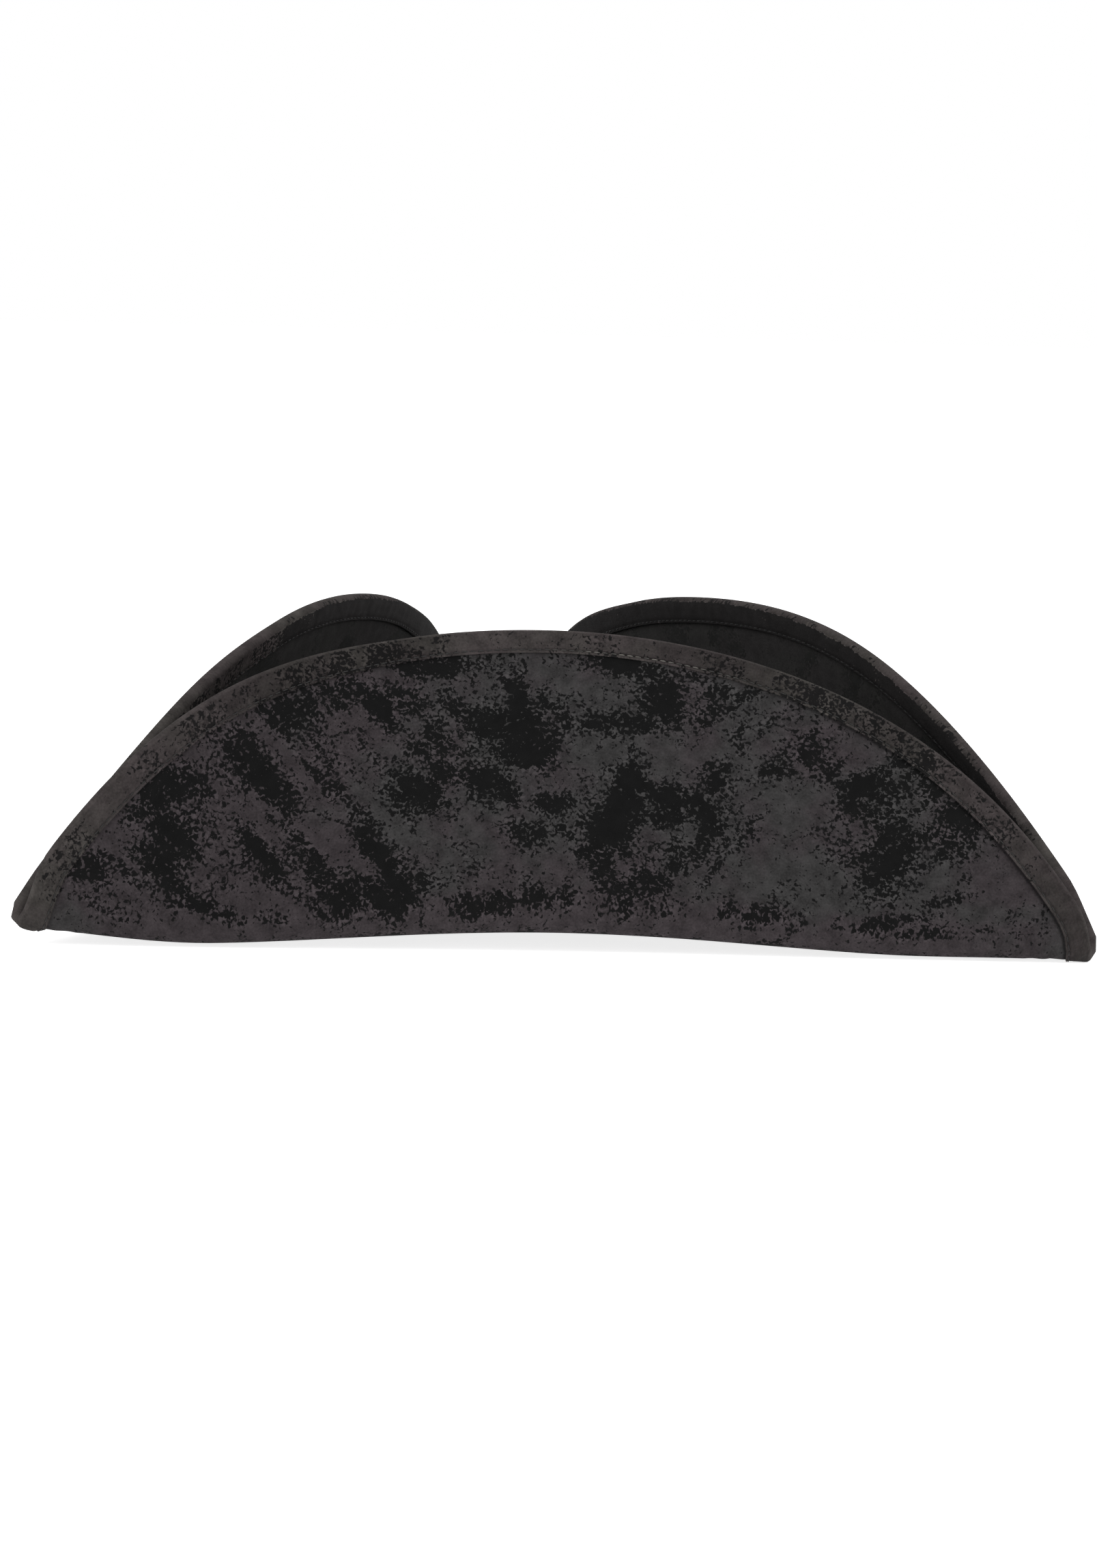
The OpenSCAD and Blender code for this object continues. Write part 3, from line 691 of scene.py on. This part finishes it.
# Painted shading of the binding, above 0 darker: painted shade in the stitch dents, most in the lit middle of
# the back flap; painted highlights on the lips there and at the back flap's right end, and on the rim;
# painted light inside the flaps; and the listed spots, darker or lighter
bind_painted_shading = 0.25 * dent * (1 - lit_middle) + lit_middle * (0.9 * dent - 0.6 * lip) - 0.35 * lip * right_end
bind_painted_shading -= on_rim * (outer_side * (0.5 + 0.5 * near_th(-92, 12)) + 0.4 * inner_side)
bind_painted_shading -= (3.1 * far_right + 5.8 * far_left) * ease((inward - 0.5) / 1.5)
bind_painted_shading += outer_side * spots(SHADE_SPOTS)
# Its seam attribute carries the binding's painted shading
binding = new_piece("edge_binding", bind_loops.reshape(-1, 3), loop_faces(len(bind_th), len(profile)),
                    replaces="brim_binding", slot="binding", uv=bind_uv, sharp=50,
                    attributes={"worn": bind_wear_and_highlight, "grain": bind_grain, "seam": bind_painted_shading})
dress(binding, BINDING)


# Stitches, in mm: how long each is with its gap, on the binding and elsewhere, and the thread's radius
BINDING_PITCH, PITCH, THREAD_R = 3.2, 3.0, 0.22
THREAD_TURNS = 300  # scale of the thread's twist pattern


def stitch_row(name, points, normals, pitch, radius, replaces, slot, material, light=None):
    """Separate stitches along a line of points, each a low arch of thread that dips into the cloth."""
    gap, sink, sides, steps = 0.28, 0.3, 6, 7
    run = np.r_[0, np.cumsum(np.linalg.norm(np.diff(points, axis=0), axis=1))]
    count = int(run[-1] / pitch)
    ang = np.arange(sides) * 2 * math.pi / sides
    t = np.linspace(0, 1, steps)
    centre = (np.arange(count)[:, None] + gap / 2 + (1 - gap) * t[None]) * run[-1] / count

    def at_centre(values):
        columns = [np.interp(centre.ravel(), run, values[:, k]) for k in range(3)]
        return np.stack(columns, -1).reshape(count, steps, 3)

    c, n = at_centre(points), at_centre(normals)
    n /= np.linalg.norm(n, axis=-1, keepdims=True)
    tangent = np.gradient(c, axis=1)
    tangent /= np.linalg.norm(tangent, axis=-1, keepdims=True)
    side = np.cross(tangent, n)
    rise = np.sin(math.pi * t) ** 0.5
    arch = (rise - sink)[None, :, None] * radius
    thick = (radius * (0.55 + 0.45 * rise))[None, :, None, None]
    cos, sin = np.cos(ang)[None, None, :, None], np.sin(ang)[None, None, :, None]
    rim = (n[:, :, None] * cos + side[:, :, None] * sin) * thick
    verts = (c + n * arch)[:, :, None] + rim
    base = np.arange(count)[:, None, None] * steps * sides
    i, j = np.arange(steps - 1)[None, :, None], np.arange(sides)[None, None]
    a = base + i * sides + j
    b = base + i * sides + (j + 1) % sides
    faces = np.stack([a, a + sides, b + sides, b], -1).reshape(-1, 4).tolist()
    for k in range(count):
        first = k * steps * sides
        faces.append([first + s for s in range(sides)])
        faces.append([first + (steps - 1) * sides + s for s in range(sides - 1, -1, -1)])
    u = np.broadcast_to(centre[:, :, None], (count, steps, sides))
    v = np.broadcast_to(ang[None, None] * radius, (count, steps, sides))
    shine = np.zeros(count * steps) if light is None else np.interp(centre.ravel(), run, light)
    piece = new_piece(name, verts.reshape(-1, 3), faces, replaces=replaces, slot=slot, sharp=0,
                      uv=np.stack([u, v], -1).reshape(-1, 2) * MM * THREAD_TURNS,
                      attributes={"light": np.repeat(shine, sides)})
    return dress(piece, material)


def closed(values):
    """The values with the first one again at the end, so that a line closes."""
    return np.concatenate([values, values[:1]])


# Both rows are the grey thread; the inner row is drawn in the dark thread, painted shade on its shaded side
for side, node in ((-1, "binding_stitching_outer"), (1, "binding_stitching_inner")):
    p, n = on_edge(bind_th, bind_edge, STITCH_IN, side * (BOUND - 0.08))
    # Stitches of the outer row in the back flap's middle get a painted highlight
    near_light = np.exp(-((turn(bind_th, LIT_TH) / 6) ** 2))
    lit = np.clip(1.6 * near_light * (0.55 + 0.45 * np.sin(bind_th * 1.9)), 0, 1) * (side < 0)
    stitch_row(node.replace("stitching", "stitches"), closed(p), closed(n * side), BINDING_PITCH, THREAD_R,
               node, "thread_grey", THREAD_GREY if side < 0 else THREAD_DARK, light=closed(lit))

# ---------------------------------------------------------------------------------------------
# Crown, lining and sweatband
# ---------------------------------------------------------------------------------------------
AROUND = 300
crown_th = np.arange(AROUND) * 360 / AROUND


def crown_r(z, off):
    """Half length of the crown's oval at a height, for a layer at an offset from the head's oval."""
    u = np.clip((z - HEAD_RISE) / (CROWN_SEAM_Z - HEAD_RISE), 0, 1)
    return HEAD_L + off - CROWN_TAPER * u ** 1.3 - CROWN_SHOULDER * (np.maximum(u - 0.85, 0) / 0.15) ** 2


def crown_wobble(th, z):
    """Softness of the crown's side, in mm, fading to nothing at its foot."""
    t = th * DEG
    w = 0.7 * np.sin(5 * t + 0.6 + z / 40) * np.sin(z / 28 + 0.5) + 0.35 * np.sin(11 * t - z / 19 + 2)
    return w * ease((z - 14) / 30)


def oval_points(r, z, th):
    """Points of the crown's oval, r being its half length."""
    return np.stack([r * OVAL * np.cos(th * DEG), CROWN_FORWARD + r * np.sin(th * DEG), z], -1) + PLACE


def crown_grain(th, down):
    """Pattern coordinates for the crown: round it, and down from the middle of its top."""
    return np.stack([75 * np.cos(th * DEG), 75 * np.sin(th * DEG), down * 0.6], -1) * MM


def scatter(grain, seed):
    """Scattered worn patches at given pattern coordinates."""
    return scatter_of(grain.reshape(-1, 3) / PATCH_CELL, seed) - 0.5


def crown_sheet(name, profile_out, profile_in, wobbly, **kw):
    """A closed sheet of revolution on the oval: two lists of (half length, z), outside then inside."""
    prof = np.array(list(profile_out) + list(profile_in)[::-1], float)
    th = np.repeat(crown_th[:, None], len(prof), 1)
    r = np.repeat(prof[None, :, 0], AROUND, 0)
    z = np.repeat(prof[None, :, 1], AROUND, 0)
    r = r + crown_wobble(th, z) * wobbly
    points = oval_points(r, z, th)
    down = np.repeat(np.r_[0, np.cumsum(np.linalg.norm(np.diff(prof, axis=0), axis=1))][None], AROUND, 0)
    uv = np.stack([th * DEG * 88, down], -1).reshape(-1, 2) * MM
    grain = crown_grain(th, down).reshape(-1, 3)
    return new_piece(name, points.reshape(-1, 3), loop_faces(AROUND, len(prof))[:, ::-1], uv=uv,
                     attributes={"grain": grain, "worn": scatter(grain, 14.2)}, **kw)


def wall(outer, inner, z0, z1, n=34):
    """Outside and inside profiles of an upright layer, given its offsets from the head's oval."""
    heights = np.linspace(z0, z1, n)
    return [(crown_r(z, outer), z) for z in heights], [(crown_r(z, inner), z) for z in heights]


top_off = SUEDE_IN - SWEATBAND_T
for name, node, slot, material, outer, inner, top_z in (
    ("crown_side_cloth", "crown_side", "suede", SUEDE, SUEDE_OUT, SUEDE_IN, CROWN_SEAM_Z + top_off),
    ("crown_side_buckram", "crown_side_stiffener", "buckram", BUCKRAM, SUEDE_IN, SHELL_IN,
     CROWN_SEAM_Z + LINING_T),
    ("crown_side_lining_cloth", "crown_side_lining", "lining", LINING, SHELL_IN, SWEATBAND_T, CROWN_SEAM_Z),
):
    piece = crown_sheet(name, *wall(outer, inner, CROWN_FOOT, top_z), 1.0, replaces=node, slot=slot)
    dress(piece, material)

ribbon_foot = HEAD_RISE - 1.5
ribbon = crown_sheet("sweatband_ribbon", *wall(SWEATBAND_T, 0.0, ribbon_foot, ribbon_foot + SWEATBAND_H, 16),
                     0.0, replaces="sweatband", slot="sweatband")
dress(ribbon, RIBBON)


def dome_sheet(name, off, thick, reach, replaces, slot, material, rim=0.0):
    """Domed oval sheet on top of the crown, closed, with a slightly rolled rim."""
    r0 = crown_r(CROWN_SEAM_Z, reach)
    z0 = CROWN_SEAM_Z + off
    shares = np.r_[np.linspace(0.06, 0.9, 18), np.linspace(0.92, 1, 8)]
    top = []
    for s in shares:
        roll = rim * max(0, 1 - abs(s - 0.975) / 0.035)
        top.append((r0 * s + (rim * 0.4 if s == 1 else 0), z0 + thick + DOME_RISE * (1 - s * s) + roll))
    under = [(r0 * s, z0 + DOME_RISE * (1 - s * s)) for s in shares[::-1]]
    prof = np.array(top + under)
    n = len(prof)
    th = np.repeat(crown_th[:, None], n, 1)
    r, z = np.repeat(prof[None, :, 0], AROUND, 0), np.repeat(prof[None, :, 1], AROUND, 0)
    t, share = th * DEG, r / r0
    sag = 0.9 * np.sin(2 * t + 0.8) * share * (1 - share ** 2) * 2.6
    sag = sag + 0.5 * np.sin(3 * t + 2) * share ** 2 * (1 - share ** 2) * 4
    points = oval_points(r, z + sag, th).reshape(-1, 3)
    centre_top = oval_points(np.array(0.0), np.array(z0 + thick + DOME_RISE), np.array(0.0))
    centre_low = oval_points(np.array(0.0), np.array(z0 + DOME_RISE), np.array(0.0))
    points = np.vstack([points, centre_top, centre_low])
    last = AROUND * n
    quads, top_fan, low_fan = [], [], []
    for i in range(AROUND):
        k = (i + 1) % AROUND
        quads += [(i * n + j, i * n + j + 1, k * n + j + 1, k * n + j) for j in range(n - 1)]
        top_fan.append((last, i * n, k * n))
        low_fan.append((last + 1, k * n + n - 1, i * n + n - 1))
    uv = points[:, :2] * MM
    xy = (points[:, :2] - oval_points(np.array(0.0), np.array(0.0), np.array(0.0))[:2])
    grain = np.c_[xy, np.zeros(len(xy))] * MM
    piece = new_piece(name, points, quads + top_fan + low_fan, replaces=replaces, slot=slot, uv=uv,
                      attributes={"grain": grain, "worn": scatter(grain, 21.7)})
    dress(piece, material)
    return piece


dome_sheet("crown_top_cloth", top_off, CROWN_SUEDE_T, SUEDE_OUT, "crown_tip", "suede", SUEDE, rim=0.8)
dome_sheet("crown_top_buckram", LINING_T, CROWN_STIFFENER_T, SUEDE_IN, "crown_tip_stiffener", "buckram",
           BUCKRAM)
dome_sheet("crown_top_lining", 0.0, LINING_T, SHELL_IN, "crown_tip_lining", "lining", LINING)


def oval_line(r, z, th, up):
    """A line round the oval, with a normal that is up towards the sky and the rest outward."""
    point = oval_points(r, z, th)
    out = np.stack([np.cos(th * DEG), np.sin(th * DEG) * OVAL, np.zeros_like(th)], -1)
    out /= np.linalg.norm(out, axis=-1, keepdims=True)
    n = out * math.sqrt(1 - up * up) + np.array([0, 0, up])
    return point, n


fine_th = np.arange(721) * 0.5


def round_oval(r, z, up):
    """A line round the whole oval at one half length and height."""
    return oval_line(np.full_like(fine_th, r), np.full_like(fine_th, z), fine_th, up)


# The top's stitches run this far inside its edge, the back seam's this far beside the seam
TOP_STITCH_IN, SEAM_STITCH_BESIDE = 4.2, 2.85
tip_r = crown_r(CROWN_SEAM_Z, SUEDE_OUT)
share = 1 - TOP_STITCH_IN / tip_r
tip_z = CROWN_SEAM_Z + SUEDE_OUT - SWEATBAND_T + DOME_RISE * (1 - share * share) + 0.15
p, n = round_oval(tip_r * share, tip_z, 0.92)
stitch_row("crown_top_stitches", p, n, PITCH, THREAD_R, "crown_tip_topstitching", "thread", THREAD_DARK)
p, n = round_oval(crown_r(CROWN_FOOT, SUEDE_OUT), CROWN_FOOT + 0.5, 0.4)
stitch_row("head_seam_stitches", p, n, PITCH, THREAD_R, "head_seam_stitching", "thread", THREAD_DARK)
p, n = round_oval(crown_r(HEAD_RISE + 0.8, 0.0), HEAD_RISE + 0.9, 0.0)
stitch_row("sweatband_stitches", p, -n, PITCH, THREAD_R, "sweatband_stitching", "thread", THREAD_DARK)
seam_z = np.linspace(CROWN_FOOT + 2, CROWN_SEAM_Z - 2, 60)
seam_th = np.full_like(seam_z, 270 + SEAM_STITCH_BESIDE / (HEAD_W + SUEDE_OUT) / DEG)
seam_r = crown_r(seam_z, SUEDE_OUT) + crown_wobble(seam_th, seam_z)
p, n = oval_line(seam_r, seam_z, seam_th, 0.1)
stitch_row("crown_back_seam_stitches", p, n, PITCH, THREAD_R, "crown_back_seam_stitching", "thread",
           THREAD_DARK)

# A tack's strands, in metres: how far each turns from the tack's middle line, its radius, and how far it
# runs along the tack in one radian of turning
COIL_R, STRAND_R, COIL_RUN = 0.00042, 0.00036, 0.0016


def thread_bar(node, slot):
    """The few twisted passes of thread that tie a flap to the crown, along the CAD bar's own axis."""
    co = np.array([v.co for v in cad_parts[node].data.vertices])
    middle = co.mean(0)
    axis = np.linalg.svd(co - middle, full_matrices=False)[2][0]
    half = np.abs((co - middle) @ axis).max() * 0.995
    side = np.cross(axis, (0, 0, 1.0))
    side /= np.linalg.norm(side)
    up = np.cross(side, axis)
    steps, sides, strands = 40, 8, 4
    t = np.linspace(-1, 1, steps)
    ring = np.arange(sides) * 2 * math.pi / sides
    verts, faces = [], []
    for s in range(strands):
        turnings = 2 * math.pi * s / strands + t * half / COIL_RUN
        coil = np.cos(turnings)[:, None] * side + np.sin(turnings)[:, None] * up
        centre = middle + t[:, None] * half * axis + COIL_R * coil
        base = len(verts) * sides
        for c in centre:
            verts.append([c + STRAND_R * (math.cos(a) * side + math.sin(a) * up) for a in ring])
        for k in range(steps - 1):
            low, high = base + k * sides, base + (k + 1) * sides
            for a in range(sides):
                b = (a + 1) % sides
                faces.append((low + a, low + b, high + b, high + a))
        faces.append([base + a for a in range(sides - 1, -1, -1)])
        faces.append([base + (steps - 1) * sides + a for a in range(sides)])
    verts = np.array(verts).reshape(-1, 3)
    uv = np.stack([(verts - middle) @ axis, (verts - middle) @ up], -1) * THREAD_TURNS
    piece = new_piece(node + "_thread", verts / MM, faces, replaces=node, slot=slot, uv=uv, sharp=0)
    return dress(piece, THREAD_DARK)


for node in ("flap_tack_back", "flap_tack_left", "flap_tack_right"):
    thread_bar(node, "thread")

# The wire in the edge follows the same curve as the cloths, so that it stays inside them at the corners
WIRE_R, WIRE_IN, WIRE_SIDES = 1.0, 2.6, 10
wire_loops = []
for s in range(WIRE_SIDES):
    angle = 2 * math.pi * s / WIRE_SIDES
    inward, offset = WIRE_IN + WIRE_R * math.cos(angle), WIRE_R * math.sin(angle)
    wire_loops.append(on_edge(bind_th, bind_edge, inward, offset)[0])
wire = new_piece("edge_wire", np.stack(wire_loops, 1).reshape(-1, 3), loop_faces(len(bind_th), WIRE_SIDES),
                 replaces="brim_edge_wire", slot="wire", sharp=0)
dress(wire, STEEL)

# ---------------------------------------------------------------------------------------------
# Floor, light and camera
# ---------------------------------------------------------------------------------------------
scene = bpy.context.scene
scene.view_settings.view_transform = "Standard"

floor_mesh = bpy.data.meshes.new("floor")
floor_mesh.from_pydata([(-40, -40, 0), (40, -40, 0), (40, 40, 0), (-40, 40, 0)], [], [(0, 1, 2, 3)])
floor = bpy.data.objects.new("floor", floor_mesh)
scene.collection.objects.link(floor)
floor_paint = Nodes("floor_paint")
floor_paint.shader.inputs["Emission Color"].default_value = (1, 1, 1, 1)
floor_paint.shader.inputs["Emission Strength"].default_value = 0.8
floor_mesh.materials.append(floor_paint.finish((0.8, 0.8, 0.8), 0.9, specular=0.0))

world = bpy.data.worlds.new("studio")
scene.world = world
world.use_nodes = True
world.node_tree.nodes["Background"].inputs[0].default_value = (1, 1, 1, 1)
world.node_tree.nodes["Background"].inputs[1].default_value = 1.0


def softbox(name, place, aim, size, power):
    """A round soft lamp at a place, turned towards a point."""
    light = bpy.data.lights.new(name, "AREA")
    light.shape, light.size, light.energy = "DISK", size, power
    lamp = bpy.data.objects.new(name, light)
    lamp.location = place
    lamp.rotation_euler = (Vector(aim) - Vector(place)).to_track_quat("-Z", "Y").to_euler()
    scene.collection.objects.link(lamp)


softbox("key_light", (-0.9, -1.6, 1.9), (0, -0.1, 0.05), 1.2, 12)
softbox("fill_light", (1.5, -1.3, 1.3), (0, -0.1, 0.05), 1.2, 5)
softbox("top_light", (0.1, 0.5, 2.2), (0, 0, 0.05), 1.4, 9)

# The photograph's camera: behind the hat and a little above it
VIEW_YAW, VIEW_PITCH, VIEW_ROLL = 5.59 * DEG, 5.20 * DEG, 1.54 * DEG
DISTANCE, SENSOR, LENS = 2.0, 36, 114.55
SHIFT_X, SHIFT_Y = 0.0067, -0.0158
pivot = Vector(PLACE * MM) + Vector((0, 0, 0.06))
level = Vector((math.sin(VIEW_YAW), math.cos(VIEW_YAW), 0))
forward = level * math.cos(VIEW_PITCH) + Vector((0, 0, -math.sin(VIEW_PITCH)))
right = Vector((math.cos(VIEW_YAW), -math.sin(VIEW_YAW), 0))
up = right.cross(forward)
rolled_right = right * math.cos(VIEW_ROLL) + up * math.sin(VIEW_ROLL)
rolled_up = up * math.cos(VIEW_ROLL) - right * math.sin(VIEW_ROLL)
camera_data = bpy.data.cameras.new("camera")
camera_data.sensor_width = SENSOR
camera_data.lens = LENS
camera_data.shift_x, camera_data.shift_y = SHIFT_X, SHIFT_Y
camera_data.clip_start, camera_data.clip_end = 0.1, 100
camera = bpy.data.objects.new("camera", camera_data)
aim = Matrix((rolled_right, rolled_up, -forward)).transposed().to_4x4()
camera.matrix_world = Matrix.Translation(pivot - forward * DISTANCE) @ aim
scene.collection.objects.link(camera)
scene.camera = camera
